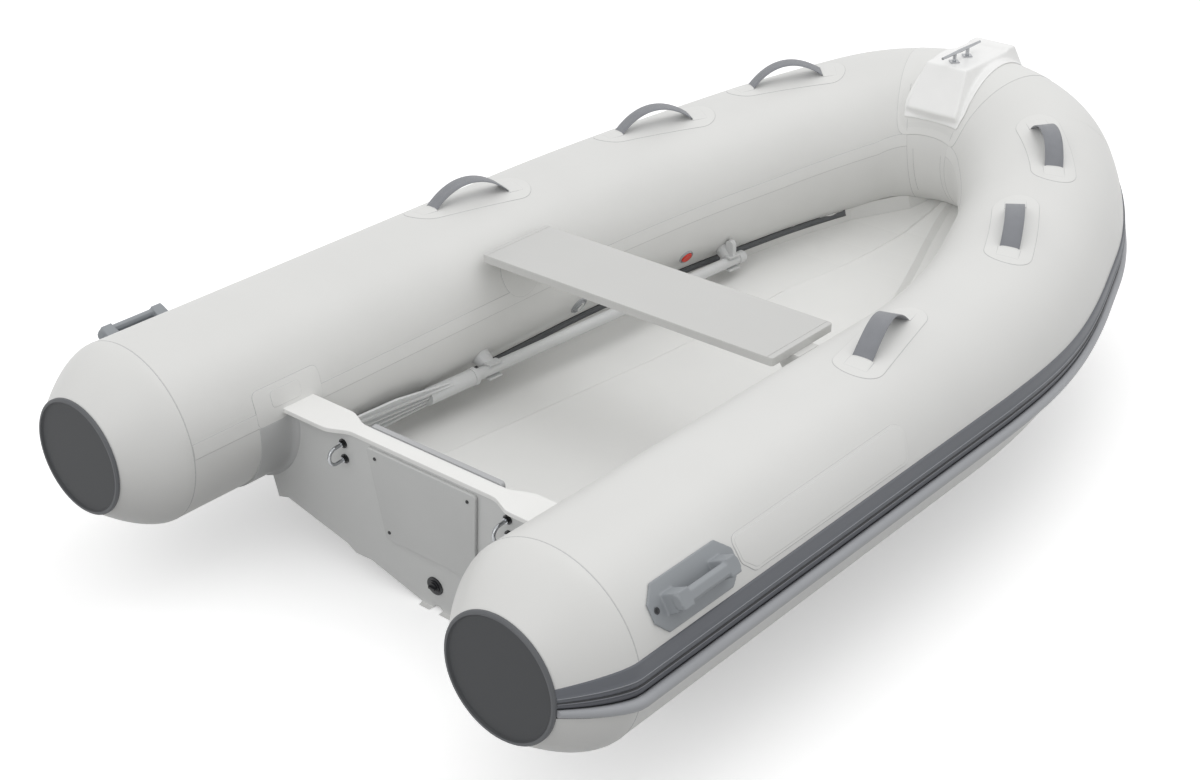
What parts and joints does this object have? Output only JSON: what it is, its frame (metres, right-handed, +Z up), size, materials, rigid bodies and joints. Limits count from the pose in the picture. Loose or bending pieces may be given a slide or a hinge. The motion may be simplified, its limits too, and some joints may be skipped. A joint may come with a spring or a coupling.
{
  "type": "rigid-bottom inflatable boat",
  "caption": "Rigid-bottom inflatable tender: light grey air tubes round an aluminium V hull, raked transom with motor pad, bench, bow step with cleat, and oars that unclip from the tubes.",
  "frame": {"origin": "on the floor under the middle of the boat, between its furthest points fore and aft, on its centreline", "axes": "+X starboard, +Y forward to the bow, +Z up"},
  "size_m": [1.663, 2.8165, 0.7483],
  "materials": {
    "tube_fabric": "coated, satin",
    "band_rubber": "satin",
    "bead_rubber": "satin",
    "cap_plastic": "matte",
    "handle_plastic": "satin",
    "hull_paint": "satin",
    "deck_paint": "satin",
    "transom_paint": "satin",
    "cap_paint": "satin",
    "plate_plastic": "matte",
    "pad_plastic": "matte",
    "bench_aluminium": "coated, satin",
    "bracket_plastic": "matte",
    "step_laminate": "gloss",
    "stainless": "polished",
    "drain_plastic": "matte",
    "oar_plastic": "satin",
    "clip_plastic": "matte",
    "valve_plastic": "satin",
    "relief_plastic": "satin",
    "webbing": "woven"
  },
  "bodies": {
    "boat": {"bench": "bench_aluminium", "bench_bracket_port": "bracket_plastic", "bench_bracket_starboard": "bracket_plastic", "bow_cleat": "stainless", "bow_step": "step_laminate", "carry_handle_port": "handle_plastic", "carry_handle_starboard": "handle_plastic", "cone_port": "tube_fabric", "cone_starboard": "tube_fabric", "deck": "deck_paint", "drain_fitting": "drain_plastic", "end_cap_port": "cap_plastic", "end_cap_starboard": "cap_plastic", "grab_strap_1_port": "webbing", "grab_strap_1_starboard": "webbing", "grab_strap_2_port": "webbing", "grab_strap_2_starboard": "webbing", "grab_strap_3_port": "webbing", "grab_strap_3_starboard": "webbing", "hull_bottom": "hull_paint", "inflation_valve_port": "valve_plastic", "inflation_valve_starboard": "valve_plastic", "motor_pad": "pad_plastic", "motor_plate": "plate_plastic", "oar_clips_port": "clip_plastic", "oar_clips_starboard": "clip_plastic", "relief_valve_port": "relief_plastic", "relief_valve_starboard": "relief_plastic", "rub_band": "band_rubber", "rub_bead": "bead_rubber", "tow_eye_port": "stainless", "tow_eye_starboard": "stainless", "transom": "transom_paint", "transom_cap": "cap_paint", "tube_bow": "tube_fabric", "tube_port": "tube_fabric", "tube_starboard": "tube_fabric"},
    "port_oar": {"oar_port": "oar_plastic"},
    "starboard_oar": {"oar_starboard": "oar_plastic"}
  },
  "joints": [
    {"name": "port_oar_unclip", "type": "slide", "parent": "boat", "child": "port_oar", "axis": [0.9971, -0.0767, 0], "range_m": [0, 0.2]},
    {"name": "starboard_oar_unclip", "type": "slide", "parent": "boat", "child": "starboard_oar", "axis": [-0.9971, -0.0767, 0], "range_m": [0, 0.2]}
  ]
}
